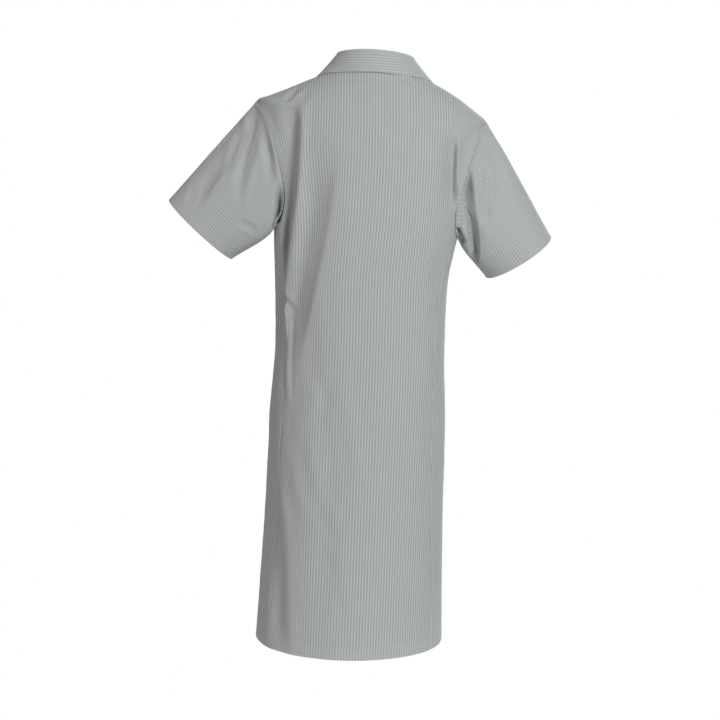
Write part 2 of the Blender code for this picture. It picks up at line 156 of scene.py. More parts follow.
def wovenPoplin():
    # Woven poly-cotton poplin, yarn-dyed: matt, a fine plain weave, stripes with slightly fuzzy edges.
    material, tree, shader = newMaterial("wovenPoplin", {
        "Roughness": 0.82, "IOR": 1.5, "Specular IOR Level": 0.25,
        "Sheen Weight": 0.12, "Sheen Roughness": 0.5})
    uv = addNode(tree, "ShaderNodeUVMap", {"uv_map": "clothMetres"})
    place = addNode(tree, "ShaderNodeSeparateXYZ", links={0: uv.outputs[0]})
    fold = addNode(tree, "ShaderNodeMath", {"operation": "PINGPONG", 1: poplin["pitch"] / 2},
                   {0: place.outputs[0]})
    low, high = (poplin["pitch"] / 4 * (1 + way * poplin["edge"]) for way in (-1, 1))
    stripe = addNode(tree, "ShaderNodeMapRange",
                     {"interpolation_type": "SMOOTHSTEP", "From Min": low, "From Max": high},
                     {"Value": fold.outputs[0]})
    backing = addNode(tree, "ShaderNodeAttribute", {"attribute_name": "backing"})
    under = addNode(tree, "ShaderNodeMath", {"operation": "MULTIPLY", 1: poplin["blur"]},
                    {0: backing.outputs["Fac"]})
    blurred = addNode(tree, "ShaderNodeMix", {"data_type": "FLOAT", 3: 0.5},
                      {0: under.outputs[0], 2: stripe.outputs[0]})
    colour = addNode(tree, "ShaderNodeMix",
                     {"data_type": "RGBA", 6: linear(poplin["white"]), 7: linear(poplin["green"])},
                     {0: blurred.outputs[0]})
    # slubs: long along the yarn, short across it
    yarn = addNode(tree, "ShaderNodeMapping",
                   {"Scale": (1 / poplin["thread"], 1 / poplin["slubLength"], 1)},
                   {0: uv.outputs[0]})
    slub = addNode(tree, "ShaderNodeTexNoise", {"Scale": 1.0, "Detail": 2.0}, {"Vector": yarn.outputs[0]})
    shade = addNode(tree, "ShaderNodeMapRange", {"To Min": 1 - poplin["slub"], "To Max": 1 + poplin["slub"]},
                    {"Value": slub.outputs[0]})
    lift = addNode(tree, "ShaderNodeMapRange", {"To Min": 1.0, "To Max": poplin["doubled"]},
                   {"Value": backing.outputs["Fac"]})
    both = addNode(tree, "ShaderNodeMath", {"operation": "MULTIPLY"},
                   {0: shade.outputs[0], 1: lift.outputs[0]})
    tinted = addNode(tree, "ShaderNodeVectorMath", {"operation": "SCALE"},
                     {0: colour.outputs[2], "Scale": both.outputs[0]})
    tree.links.new(tinted.outputs[0], shader.inputs["Base Color"])
    # plain weave: warp and weft rise in turn
    sines = []
    for axis in (0, 1):
        wave = addNode(tree, "ShaderNodeMath", {"operation": "MULTIPLY", 1: math.tau / poplin["thread"]},
                       {0: place.outputs[axis]})
        sines.append(addNode(tree, "ShaderNodeMath", {"operation": "SINE"}, {0: wave.outputs[0]}))
    weave = addNode(tree, "ShaderNodeMath", {"operation": "MULTIPLY"},
                    {0: sines[0].outputs[0], 1: sines[1].outputs[0]})
    crumple = addNode(tree, "ShaderNodeTexNoise",
                      {"Scale": 1 / poplin["crumpleSize"], "Detail": 3.0, "Roughness": 0.45},
                      {"Vector": uv.outputs[0]})
    fine = addNode(tree, "ShaderNodeBump", {"Strength": 0.35, "Distance": poplin["weaveHeight"]},
                   {"Height": weave.outputs[0]})
    coarse = addNode(tree, "ShaderNodeBump", {"Strength": 0.5, "Distance": poplin["crumpleHeight"]},
                     {"Height": crumple.outputs[0], "Normal": fine.outputs[0]})
    tree.links.new(coarse.outputs[0], shader.inputs["Normal"])
    return material


def clouded(name, settings, colours, size, detail):  # two near colours, mixed by noise of a size in mm
    material, tree, shader = newMaterial(name, settings)
    where = addNode(tree, "ShaderNodeTexCoord")
    cloud = addNode(tree, "ShaderNodeTexNoise", {"Scale": 1000 / size, "Detail": detail},
                    {"Vector": where.outputs["Object"]})
    colour = addNode(tree, "ShaderNodeMix",
                     {"data_type": "RGBA", 6: linear(colours[0]), 7: linear(colours[1])},
                     {0: cloud.outputs[0]})
    tree.links.new(colour.outputs[2], shader.inputs["Base Color"])
    return material


clothMaterial = wovenPoplin()
# Spun polyester sewing thread: off-white, a dull twist.
threadMaterial = clouded("spunPolyesterThread", {"Roughness": 0.7, "Sheen Weight": 0.3},
                         ("#B9BEBD", "#DDE1E0"), 0.5556, 1.0)
# Cast polyester, turned and tumbled: off-white with a faint cloud and a soft polish.
buttonMaterial = clouded(
    "castPolyester", {"Roughness": 0.28, "IOR": 1.55, "Subsurface Weight": 0.15, "Subsurface Scale": 0.001},
    ("#C9CCCA", "#E6E7E4"), 6.25, 3.0)
print("materials made")


def newObject(name, data):
    made = bpy.data.objects.new(name, data)
    bpy.context.scene.collection.objects.link(made)
    return made


def newPiece(name, mesh, place=(0, 0, 0), turn=(0, 0, 0)):  # a visible piece of the coat
    piece = newObject(name, mesh)
    piece.location, piece.rotation_euler = place, turn
    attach(piece, "root")
    return piece


# The body is a stack of rings, each named by the height where it crosses the centre back. Angles on a
# ring run from the centre back (0) by the wearer's left (90) to the centre front (180).
ringNames = "backZ sideZ frontZ halfWidth backDepth frontDepth roundness centreX lean seamAngle".split()
rings = dict(zip(ringNames, np.array([
    [-1.000, -1.000, -1.000, 0.1665, 0.145, 0.140, 1.00, 0.0475, 1.1, 61],  # hem
    [-0.898, -0.898, -0.898, 0.1620, 0.140, 0.138, 0.98, 0.0431, 1.3, 59],
    [-0.754, -0.754, -0.754, 0.1577, 0.133, 0.134, 0.95, 0.0377, 1.6, 56],
    [-0.610, -0.610, -0.610, 0.1549, 0.124, 0.129, 0.92, 0.0323, 1.9, 55],  # hips
    [-0.468, -0.468, -0.468, 0.1490, 0.117, 0.124, 0.90, 0.0270, 2.4, 57],  # waist
    [-0.363, -0.364, -0.365, 0.1510, 0.118, 0.126, 0.88, 0.0245, 3.0, 62],
    [-0.300, -0.305, -0.303, 0.1570, 0.118, 0.129, 0.87, 0.0195, 3.4, 71],
    [-0.268, -0.278, -0.274, 0.1600, 0.117, 0.129, 0.87, 0.0165, 3.6, 78],  # armpits
    [-0.215, -0.216, -0.228, 0.1670, 0.112, 0.124, 0.87, 0.0125, 4.3, 81],
    [-0.165, -0.152, -0.186, 0.1780, 0.106, 0.114, 0.92, 0.0090, 5.0, 84],
    [-0.120, -0.094, -0.148, 0.1900, 0.097, 0.102, 1.02, 0.0070, 5.3, 87],
    [-0.095, -0.070, -0.128, 0.1980, 0.091, 0.094, 1.09, 0.0060, 5.5, 90],  # shoulder tips
    [-0.082, -0.0600, -0.120, 0.1820, 0.087, 0.090, 1.07, 0.0050, 4.8, 90],
    [-0.045, -0.0305, -0.098, 0.1280, 0.073, 0.077, 1.02, 0.0030, 3.1, 90],
    [-0.022, -0.0165, -0.086, 0.0980, 0.0635, 0.070, 1.00, 0.0010, 3.2, 90],
    [0.000, -0.0025, -0.075, 0.0680, 0.055, 0.066, 1.00, 0.0000, 3.5, 90],  # neck seam
]).T))

body = {
    "hem": -1.0, "armpit": -0.268, "tip": -0.095, "neck": 0.0,  # heights at the centre back
    "backBite": 20, "frontBite": 31,  # how far the armhole cuts in, in degrees
    "overlap": 0.018, "overlapLift": 0.0015,  # past the centre front, and off the front below
    "overlapEase": 0.004, "overlapFade": 0.035, "facedFade": 0.04,
}
sewn = {
    "wall": 0.0007, "hemWall": 0.0014,  # cloth that is single, and that is turned under
    "seamGap": 0.00012, "seamDip": 0.0008, "seamWidth": 0.0011,
    "seamStiff": 0.03,  # waves start this far from a seam
    "topstitch": 0.0055, "pull": 0.00035, "pullWidth": 0.0009,  # from the armhole's edge
    "armholeEnds": (0.012, 0.006),  # over which its stitch line starts at the armpit and ends at the tip
    "hemDepth": 0.0206, "hemFade": 0.0012, "hemStitch": 0.0185, "hemPull": 0.0004, "hemPullWidth": 0.0010,
    "edgeRound": 0.0008, "edgeThins": 0.7,  # a hem's edge, and how much of its rounding it loses in thickness
    "pucker": (0.7, 0.3), "pullSpacing": 0.006, "hemPullSpacing": 0.007,  # how unevenly a stitch line pulls
}
drape = {
    "foldEnds": 3.2, "creaseEnds": 3,  # how soon a fold or crease is full, from each end
    "ridge": 0.35, "ridgeAt": 1.75, "ridgeSharpness": 1.6,  # the cloth pushed up beside a trough
    "fallSoft": 0.02, "fallFull": 1.6, "fallBack": 2.6,  # in widths: where it stays dropped, and returns over
    "sideFade": 6,  # how soon folds end where the cloth turns to the side
    # how the lower left armhole draws in the back's cloth, and the sleeve's beside the seam
    "tuck": 0.0015, "tuckWidth": 0.006,
    "sleeveTuck": 0.0230, "sleeveTuckAt": 0.0108, "sleeveTuckWidth": 0.0064,
    # the upper armhole, where the sleeve is eased in, stands out
    "crownLeft": 0.0055, "crownRight": 0.0080, "crownWidth": 0.016, "sleeveCrown": 0.009,
    # where, in shares of the armhole's height: start, rise, end, fall
    "drawnPart": (0, 0.03, 0.18, 0.20), "leftCrownPart": (0.40, 0.25, 0.88, 0.12),
    "rightCrownPart": (0.18, 0.22, 0.72, 0.26),
    # soft waves, fine unevenness and the skirt's crumples: their height, and layers of noise
    "flutter": 0.0009, "rumple": 0.00022, "crumple": 0.0013, "flutterTop": 0.25,
    "flutterLayers": [(0.060, 0.30, 0, 1, 0), (0.032, 0.16, 0, 0.6, 5)],
    "rumpleLayers": [(0.014, 0.022, 0, 1, 9), (0.007, 0.012, 0, 0.6, 13)],
    "crumpleLayers": [(0.028, 0.095, 4, 1, 31), (0.015, 0.05, 0, 0.5, 33)],
    "crumpled": ((0.030, 0.030), (0.47, 0.10), (0.985, 0.06)),  # its side, top and bottom, each with its fade
}


def bareForm(height, angle):
    height, angle = np.broadcast_arrays(np.asarray(height, float), np.asarray(angle, float))
    at = {name: smooth(height, rings["backZ"], column) for name, column in rings.items()}
    turn = np.radians(angle)
    across = at["halfWidth"] * power(np.sin(turn), at["roundness"])
    behind = np.cos(turn) > 0
    depth = np.where(behind, at["backDepth"], at["frontDepth"])
    endZ = np.where(behind, at["backZ"], at["frontZ"])
    z = at["sideZ"] * np.sin(turn) ** 2 + endZ * np.cos(turn) ** 2
    z = z + across * np.tan(np.radians(at["lean"]))
    return np.stack([at["centreX"] + across, depth * power(np.cos(turn), at["roundness"]), z], axis=-1)


def formNormal(height, angle):
    rise, turn = 0.0005, 0.5
    up = bareForm(np.minimum(height + rise, body["neck"]), angle) - bareForm(height - rise, angle)
    return unit(np.cross(up, bareForm(height, angle + turn) - bareForm(height, angle - turn)))


def sideways(angle):  # which cloth is behind, and a fade to 0 where it turns to the side
    cos = np.cos(np.radians(angle))
    return cos > 0, step(np.abs(cos) * drape["sideFade"])


# All fold and crease tables are in millimetres. Long troughs: facing, top and bottom, x at the ends and the
# thirds between, depth, width, and how many times wider the flank on the +X side is. Where it differs, that
# flank has no ridge beyond it.
longFolds = [
    (1, -45, -265, (140, 142, 146, 153), 12, 10.5, 1.7),  # inside the left armhole
    (1, -150, -520, (143, 158, 175.5, 187), 14, 11.5, 0.95),  # and on down the left side
    (1, -660, -1040, (182, 176, 168, 163), 5.5, 13, 1),  # flute at the left hem
    (1, -600, -960, (-60, -55, -50, -52), 1.4, 30, 1),
    (-1, -170, -480, (100, 112, 126, 138), 9, 15, 1.2),  # left chest to waist
    (-1, -190, -460, (-90, -98, -102, -98), 8.5, 15, 0.8),  # right chest to waist
    (-1, -620, -1040, (112, 120, 126, 130), 8.5, 18, 1.3),
    (-1, -560, -1040, (-48, -56, -60, -62), 8, 20, 1),
]
# These go straight in, not along the cloth's normals.
straightFolds = [
    (1, -105, -252, (-131, -130, -128.5, -127.5), 12, 5.4, 3),  # inside the right armhole
    (1, -200, -500, (147.5, 161, 169.5, 169), 14, 5.5, 1),  # the left fold's deep middle
]
# Falls: the cloth drops away beyond a line, on the side of +X or -X. The same columns, drop, width, side.
falls = [
    (1, -110, -540, (55, 77, 107, 138), 14.2, 18, 1),  # left shoulder blade to waist
    (1, -340, -1060, (172, 170, 176, 184), 5.8, 13, 1),  # along the left side
    (1, -500, -980, (36, 34, 44, 52), 2.6, 22, 1),  # left third of the skirt
]

# Smaller creases: facing, the route as (x, z), depth, width.
bodyCreases = [
    (1, [(130, -31), (143, -46), (158, -63)], 3.4, 5),  # left shoulder
    (1, [(112, -40), (121, -52), (128, -66)], 1.2, 6),
    (1, [(68, -19.5), (45, -21.5), (20, -22.5), (0, -22.2)], 2.8, 3),  # below the collar
    (1, [(-24, -18), (-45, -22.5), (-68, -31)], 1.8, 4),
    (1, [(157, -398), (153, -463), (150, -531), (148, -584)], -2.6, 4.5),
    (1, [(170, -380), (158, -398), (143, -420)], 2.8, 5.5),
    (1, [(110, -430), (106, -490), (100, -560)], 1, 12),
    (1, [(80, -535), (90, -572), (103, -624)], 1.3, 12),
    (1, [(139, -612), (126, -672), (110, -740)], 1.7, 11.5),
    (1, [(106, -760), (72, -788), (40, -806)], 1.1, 12),
    (1, [(72, -842), (67, -885), (60, -932)], 0.9, 13),
    (1, [(168, -716), (160, -742), (150, -775)], -1.2, 8),
    (1, [(92, -660), (76, -700), (70, -752)], 0.9, 13),
    (1, [(-40, -330), (-52, -400), (-58, -470), (-55, -540)], 1.1, 20),
    (1, [(-85, -520), (-92, -600), (-94, -700)], 1, 14),
    (1, [(-10, -120), (-14, -190), (-22, -260)], 0.7, 22),
    (1, [(30, -540), (10, -620), (4, -720)], 0.8, 18),
    (1, [(-108, -300), (-104, -345), (-92, -385)], 1.4, 10),  # right waist, slanting
    (1, [(-104, -395), (-94, -425), (-78, -450)], 1.1, 9),
    (-1, [(118, -50), (128, -75), (132, -105)], 2, 7),
    (-1, [(-112, -60), (-122, -90), (-125, -125)], 2.2, 7),
    (-1, [(152, -392), (136, -412), (116, -438)], 1.8, 7),
    (-1, [(-104, -330), (-90, -372), (-68, -402)], 1.7, 8.5),
    (-1, [(60, -300), (68, -380), (72, -460)], 1.2, 14),
    (-1, [(58, -560), (66, -680), (70, -800)], 1.6, 17),
    (-1, [(-90, -520), (-96, -620), (-100, -740)], 1.4, 14),
    (-1, [(30, -150), (46, -190), (58, -240)], 1, 12),
    (-1, [(-34, -160), (-50, -210), (-60, -270)], 1.1, 13),
]


def trough(distance, ridges=1):  # 1 deep at its middle, with the cloth pushed up a little beside it
    beside = np.exp(-drape["ridgeSharpness"] * (np.abs(distance) - drape["ridgeAt"]) ** 2)
    return np.exp(-distance**2) - drape["ridge"] * ridges * beside


def fallAway(distance):  # 0 before the line, 1 just past it, and back to 0 further on
    past = (distance + np.sqrt(distance**2 + drape["fallSoft"])) / 2
    return (1 - np.exp(-past)) * (1 - step((distance - drape["fallFull"]) / drape["fallBack"]))


def foldLine(row, z):  # in metres: the share of the way down a fold, its middle there and its width
    top, bottom, places, width = (np.array(row[column]) / 1000 for column in (1, 2, 3, 5))
    down = (top - z) / (top - bottom)
    return down, smooth(np.clip(down, 0, 1), np.array([0, 1 / 3, 2 / 3, 1]), places), width


def longFoldDepth(points, behind, kinds=(("trough", longFolds), ("fall", falls))):
    x, z = points[..., 0], points[..., 2]
    inward = np.zeros_like(x)
    for shape, rows in kinds:
        for row in rows:
            down, middle, width = foldLine(row, z)
            facing, depth, last = row[0], row[4] / 1000, row[-1]
            distance = (x - middle) / width
            fade = fadeEnds(down, drape["foldEnds"]) * (behind if facing > 0 else ~behind)
            if shape == "fall":
                inward += depth * fade * fallAway(last * distance)
            else:
                ridges = (distance < 0) | (last == 1)
                inward += depth * fade * trough(np.where(distance > 0, distance / last, distance), ridges)
    return inward


def straightFoldDepth(points, behind):
    return longFoldDepth(points, behind, (("trough", straightFolds),))


def seamTuck(height, angle):  # behind, the left armhole is drawn in low down, and both stand out higher up
    share = (height - body["armpit"]) / (body["tip"] - body["armpit"])
    behind, left = np.cos(np.radians(angle)) > 0, np.sin(np.radians(angle)) > 0
    leftCrown = drape["crownLeft"] * window(share, *drape["leftCrownPart"])
    rightCrown = drape["crownRight"] * window(share, *drape["rightCrownPart"])
    return window(share, *drape["drawnPart"]) * left * behind, np.where(left, leftCrown, rightCrown) * behind


def creaseDepth(x, z, route, depth, width, side=0):
    # A trough along a smooth route, or a fall on its +X or -X side. A depth below 0 is a ridge.
    route, depth, width, pieces = np.array(route) / 1000, depth / 1000, width / 1000, 24
    chord = lengthsAlong(route)
    fine = np.linspace(0, chord[-1], pieces + 1)
    line = np.stack([smooth(fine, chord, route[:, i]) for i in (0, 1)], axis=1)
    reach = (5 if side else 4) * width
    low, high = line.min(0) - reach, line.max(0) + reach
    near = (x > low[0]) & (x < high[0]) & (z > low[1]) & (z < high[1])
    inward = np.zeros_like(x)
    spot = np.stack([x[near], z[near]], axis=1)[:, None]
    start, run = line[None, :-1], np.diff(line, axis=0)[None]
    t = np.clip(((spot - start) * run).sum(2) / (run**2).sum(2), 0, 1)
    gap = np.linalg.norm(spot - start - t[..., None] * run, axis=2)
    best = gap.argmin(axis=1)
    rows = np.arange(len(best))
    fade = fadeEnds((best + t[rows, best]) / pieces, drape["creaseEnds"])
    distance = gap[rows, best] / width
    if side:
        ahead, offset = run[0, best], spot[:, 0] - line[best]
        turn = ahead[:, 0] * offset[:, 1] - ahead[:, 1] * offset[:, 0]
        distance = distance * np.sign(turn) * side
    inward[near] = depth * fade * (fallAway(distance) if side else trough(distance))
    return inward


def seamAngle(height):
    return float(smooth(np.array(height), rings["backZ"], rings["seamAngle"]))


def armholeBite(height):
    share = (height - body["armpit"]) / (body["tip"] - body["armpit"])
    return 2 * math.sqrt(share * (1 - share)) if 0 < share < 1 else 0.0


def pastCentre(height, distance):  # degrees past the centre front
    halfWidth, roundness = (smooth(np.asarray(height, float), rings["backZ"], rings[name])
                            for name in ("halfWidth", "roundness"))
    return np.degrees(np.arcsin((distance / halfWidth) ** (1 / roundness)))


def overlapRise(height, angle):  # the right front lies on the left one
    full = pastCentre(height, body["overlap"] + body["overlapEase"])
    gone = pastCentre(height, body["overlap"] + body["overlapEase"] + body["overlapFade"])
    return body["overlapLift"] * step((gone - (angle - 180)) / (gone - full))


# Places near an edge, by their distance from it: close together where a seam dips or a stitch line pulls.
edgeSteps = np.array([0, 0.3, 0.7, 1.2, 1.8, 2.6, 3.8, 4.7, 5.2, 5.5, 5.8, 6.4, 7.6]) / 1000
hemSteps = np.array([24.5, 22.5, 21.3, 20.5, 20, 19.5, 19, 18.7, 18.5, 18.2, 17.7, 16.8, 15, 12, 8.5, 5, 2.8,
                     1.4, 0.7, 0.3, 0.1, 0]) / 1000


def rowHeights(shoulderRows=27, armholeRows=50, lowerRows=150, hemRoom=0.027):
    shoulder = np.linspace(body["neck"], body["tip"], shoulderRows)
    turns = (1 - np.cos(np.linspace(0, math.pi, armholeRows))) / 2
    armhole = body["tip"] + (body["armpit"] - body["tip"]) * turns
    below = np.linspace(body["armpit"], body["hem"] + hemRoom, lowerRows)
    return np.concatenate([shoulder, armhole[1:], below[1:], body["hem"] + hemSteps])


def spacedAngles(height, start, end, columns, crowding=0.08):
    # Angles at set places along a ring's stretch, a little closer towards its ends.
    fine = np.linspace(start, end, 361)
    lengths = lengthsAlong(bareForm(height, fine))
    first, last = sewn["seamGap"] / 2, lengths[-1] - sewn["seamGap"] / 2
    even = np.linspace(0, 1, columns)
    even = even - crowding * np.sin(math.tau * even)
    middle = first + edgeSteps[-1] + (last - first - 2 * edgeSteps[-1]) * even
    places = np.concatenate([first + edgeSteps, middle[1:-1], last - edgeSteps[::-1]])
    return np.interp(places, lengths, fine), places - first, last - places


def pucker(along, spacing, seed):
    even, uneven = sewn["pucker"]
    return even + uneven * softNoise(along / spacing, along * 0, seed)


def turnedEdge(fromEdge, depth):  # how far a hem's edge rounds in, its wall, and where it is doubled
    rounded = np.clip(1 - fromEdge / sewn["edgeRound"], 0, 1)
    rounding = sewn["edgeRound"] * (1 - np.sqrt(1 - rounded**2))
    doubled = step((depth - fromEdge) / sewn["hemFade"])
    wall = sewn["wall"] + (sewn["hemWall"] - sewn["wall"]) * doubled
    return rounding, wall - sewn["edgeThins"] * rounding, doubled


def dressPanel(angles, lift, fromStart, fromEnd, seams, straightColumn, seed):
    # The outer and inner faces of a panel. seams says which of its long edges dip into a seam.
    rowHeight = np.broadcast_to(heights[:, None], angles.shape)
    bare, normal = bareForm(rowHeight, angles), formNormal(rowHeight, angles)
    behind, facing = sideways(angles)
    x, z = bare[..., 0], bare[..., 2]
    inward = longFoldDepth(bare, behind)
    for side, route, depth, width in bodyCreases:
        inward += creaseDepth(x, z, route, depth, width) * (behind if side > 0 else ~behind)
    inward *= facing
    edge = np.minimum(fromStart if seams[0] else 1, fromEnd if seams[1] else 1)
    openEdge = np.minimum(1 if seams[0] else fromStart, 1 if seams[1] else fromEnd)
    # the faced front edges lie flat
    free = step(edge / sewn["seamStiff"]) * step((openEdge - 2 * body["overlap"]) / body["facedFade"])
    arc, down = arcFrom(bare, straightColumn), body["neck"] - rowHeight
    waves, rumples, crumples = (drape[kind] * layered(arc, down, drape[kind + "Layers"], seed)
                                for kind in ("flutter", "rumple", "crumple"))
    inward += free * (waves * step(down / drape["flutterTop"]) + rumples)
    (left, leftFade), (top, topFade), (bottom, bottomFade) = drape["crumpled"]
    crumpled = step((x - left) / leftFade) * step((-z - top) / topFade) * step((z + bottom) / bottomFade)
    inward += free * crumpled * behind * crumples
    drawn, crown = seamTuck(rowHeight, angles)
    inward += drape["tuck"] * drawn * dip(edge, drape["tuckWidth"]) - crown * dip(edge, drape["crownWidth"])
    inward += sewn["seamDip"] * dip(edge, sewn["seamWidth"])
    low, high = sewn["armholeEnds"]
    inArmhole = step((rowHeight - body["armpit"]) / low) * step((body["tip"] - rowHeight) / high)
    pull = sewn["pull"] * inArmhole * pucker(down, sewn["pullSpacing"], seed + 21)
    inward += pull * dip(edge - sewn["topstitch"], sewn["pullWidth"])
    fromHem = rowHeight - body["hem"]
    hemPull = sewn["hemPull"] * pucker(arc, sewn["hemPullSpacing"], seed + 23)
    inward += hemPull * dip(fromHem - sewn["hemStitch"], sewn["hemPullWidth"])
    rounding, wall, doubled = turnedEdge(fromHem, sewn["hemDepth"])
    outer = bare + normal * (lift - inward - rounding)[..., None]
    outer[..., 1] -= straightFoldDepth(bare, behind)
    return outer, outer - normal * wall[..., None], doubled


def panelUv(outer, zeroColumn):  # metres along and across the grain
    arc = arcFrom(outer, zeroColumn)
    tipRow = nearest(heights, body["tip"])
    order = np.argsort(outer[tipRow, :, 0])
    for row in range(tipRow):  # above the shoulder tips the stripes run straight up to the seam
        arc[row] = np.interp(outer[row, :, 0], outer[tipRow, order, 0], arc[tipRow, order])
    middle = outer[:, outer.shape[1] // 2]
    return np.stack([arc, np.broadcast_to(-lengthsAlong(middle)[:, None], arc.shape)], axis=-1)


def clothShell(name, outer, inner, uv, backing):
    rowCount, count = outer.shape[:2]
    size = rowCount * count
    index = np.arange(size).reshape(rowCount, count)
    a, b, c, d = index[:-1, :-1], index[:-1, 1:], index[1:, 1:], index[1:, :-1]
    outside = np.stack([a, b, c, d], axis=-1).reshape(-1, 4)
    rims = []
    for line, way in ((index[0], 1), (index[-1], -1), (index[:, 0], -1), (index[:, -1], 1)):
        rim = np.stack([line[1:], line[:-1], line[:-1] + size, line[1:] + size], axis=-1)
        rims.append(rim[:, ::way])
    faces = np.concatenate([outside, outside[:, ::-1] + size, *rims])
    points = np.concatenate([outer.reshape(-1, 3), inner.reshape(-1, 3)])
    mesh = bpy.data.meshes.new(name)
    mesh.from_pydata(points.tolist(), [], faces.tolist())
    layer = mesh.uv_layers.new(name="clothMetres")
    flat = np.concatenate([uv.reshape(-1, 2)] * 2)[faces.reshape(-1)]
    layer.data.foreach_set("uv", flat.astype(np.float32).ravel())
    attribute = mesh.attributes.new("backing", "FLOAT", "POINT")
    attribute.data.foreach_set("value", np.concatenate([backing.ravel()] * 2).astype(np.float32))
    mesh.shade_smooth()
    mesh.materials.append(clothMaterial)
    print(name, len(faces) * 2, "triangles")
    return newPiece(name, mesh)


back = {
    "columns": 128,
    # where a fold takes up cloth the stripes beyond it lean, as at a dart: side, top, length, degrees, fold
    "leans": [(1, -0.055, 0.30, 15, longFolds[0]), (1, -0.140, 0.16, 5, falls[0]),
              (-1, -0.075, 0.17, 33, straightFolds[0])],
}
heights = rowHeights()


def panelGrid(rowAngles):  # for each height: its angles, and their distances from its two ends
    return (np.array(rows) for rows in zip(*(rowAngles(height) for height in heights)))


def backRow(height):
    seam = seamAngle(height)
    row, start, end = spacedAngles(height, -seam, seam, back["columns"] + 1)
    return row - body["backBite"] * armholeBite(height) * np.sign(row) * (row / seam) ** 2, start, end


def leanStripes(uv, outer):
    x, z = outer[..., 0], outer[..., 2]
    for side, top, length, lean, fold in back["leans"]:
        middle, width = foldLine(fold, z)[1:]
        beyond = step(side * (x - middle) / width / 2 + 0.5)
        uv[..., 0] += side * math.tan(math.radians(lean)) * np.clip(top - z, 0, length) * beyond
    return uv


def makeBack(seed):
    angles, fromStart, fromEnd = panelGrid(backRow)
    middle = angles.shape[1] // 2
    outer, inner, doubled = dressPanel(angles, 0, fromStart, fromEnd, (True, True), middle, seed)
    uv = leanStripes(panelUv(outer, middle), outer)
    piece = clothShell("backPanel", outer, inner, uv, doubled * poplin["hemShare"])
    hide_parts("back")
    return piece, outer


backPiece, backGrid = makeBack(3)


fronts = {"columns": 84}


def frontRow(height):
    seam, end = seamAngle(height), 180 + float(pastCentre(height, body["overlap"]))
    row, start, finish = spacedAngles(height, seam, end, fronts["columns"])
    return row + body["frontBite"] * armholeBite(height) * ((end - row) / (end - seam)) ** 2, start, finish


def mirroredRow(height):
    row, start, finish = frontRow(height)
    return 360 - row[::-1], finish[::-1], start[::-1]


def makeFront(name, node, onTop, seed):
    angles, fromStart, fromEnd = panelGrid(mirroredRow if onTop else frontRow)
    lift = overlapRise(heights[:, None], angles) if onTop else 0
    seams, straight = (not onTop, onTop), 0 if onTop else -1
    outer, inner, doubled = dressPanel(angles, lift, fromStart, fromEnd, seams, straight, seed)
    piece = clothShell(name, outer, inner, panelUv(outer, straight), doubled * poplin["hemShare"])
    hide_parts(node)
    return piece, outer


leftFront, leftGrid = makeFront("leftFront", "front_left", False, 31)
rightFront, rightGrid = makeFront("rightFront", "front_right", True, 47)


# The cuff's middle, how its plane rises and turns forward in degrees, half its height and depth, and how far
# the sleeve's upper side stands up and its underside sags.
sleeves = {
    "left": {"side": 1, "node": "sleeve_left", "cuff": (0.3070, -0.012, -0.2745), "rise": 43.6,
             "forward": 4.7, "halfHeight": 0.0750, "halfDepth": 0.051, "cap": 0.002, "sag": 0.010},
    "right": {"side": -1, "node": "sleeve_right", "cuff": (-0.2530, -0.025, -0.3225), "rise": 33,
              "forward": 10, "halfHeight": 0.0670, "halfDepth": 0.060, "cap": 0.004, "sag": 0.006},
}
sleeveCloth = {
    "columns": 200, "rows": 90, "girth": 0.4,  # about how far it is round
    "seamTurn": 0.15,  # half the underarm seam's gap, in degrees round the armhole
    "gap": 0.0003, "seamRows": 7,  # off the armhole, and the rows beside its seam
    "cuffRows": 0.026, "cuffDepth": 0.0195, "cuffScale": 0.95,  # a cuff's hem is a little narrower
    "cuffPull": 0.00035, "cuffPullWidth": 0.0010,  # its stitch line
    "seamSwell": 0.0006, "swellAt": 0.005, "swellWidth": 0.004,  # the allowances behind the armhole seam
    "foldEnds": 3, "foldStart": 8, "foldTurn": 2.6,  # how soon its folds are full: ends, seam, round its edge
    "creaseTurn": 5, "creaseStart": 0.005, "waveStart": 0.02,  # the same for creases and waves
    "wave": 0.0007, "waveSize": (0.045, 0.09), "rumpleSize": (0.012, 0.018),
}
# Long folds on a sleeve's back: where each starts and ends, in shares of the sleeve's length, how far it lies
# below the upper edge there, in shares of its height, the depth, the width, and the side it falls to (1 below,
# -1 above, 0 neither).
sleeveFolds = {
    "left": [(0.02, 0.55, 0.06, 0.52, 4, 12, 0), (0.05, 0.98, 0.08, 0.38, 5, 12, -1)],
    "right": [(-0.20, 0.76, 0.10, 1.06, 25, 9, 1), (0.05, 0.60, 0.12, 0.35, 2.5, 13, 0)],
}
